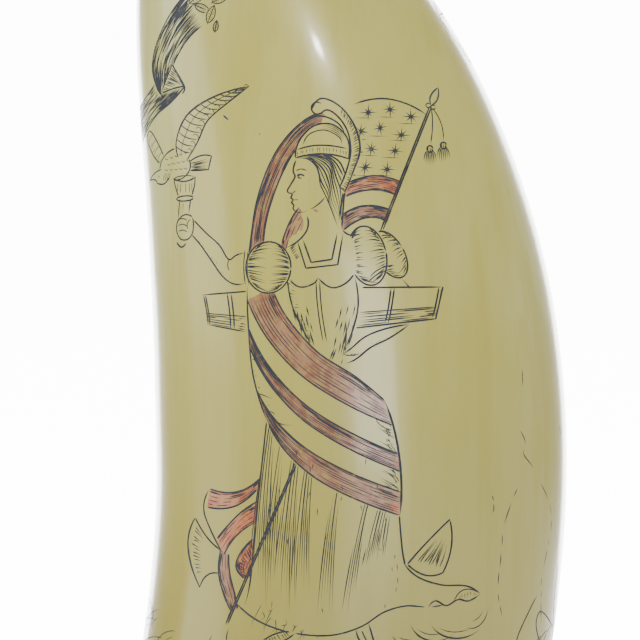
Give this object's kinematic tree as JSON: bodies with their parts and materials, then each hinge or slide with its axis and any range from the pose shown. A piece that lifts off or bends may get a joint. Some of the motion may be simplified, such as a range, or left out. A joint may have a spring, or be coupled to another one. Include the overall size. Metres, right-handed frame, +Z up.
{
  "type": "scrimshaw whale tooth",
  "caption": "Polished whale tooth cut flat to stand tip up, engraved and inked with a robed figure, striped sash, flag and ribbon.",
  "frame": {"origin": "on the standing surface, under the middle of the whole tooth's width and depth", "axes": "+Z up along the tooth towards its tip, -Y out of the engraved face, -X the side that the tooth bends towards"},
  "size_m": [0.076, 0.05, 0.1581],
  "materials": {
    "ivory": "satin"
  },
  "bodies": {
    "root": {"tooth": "ivory"}
  },
  "joints": []
}
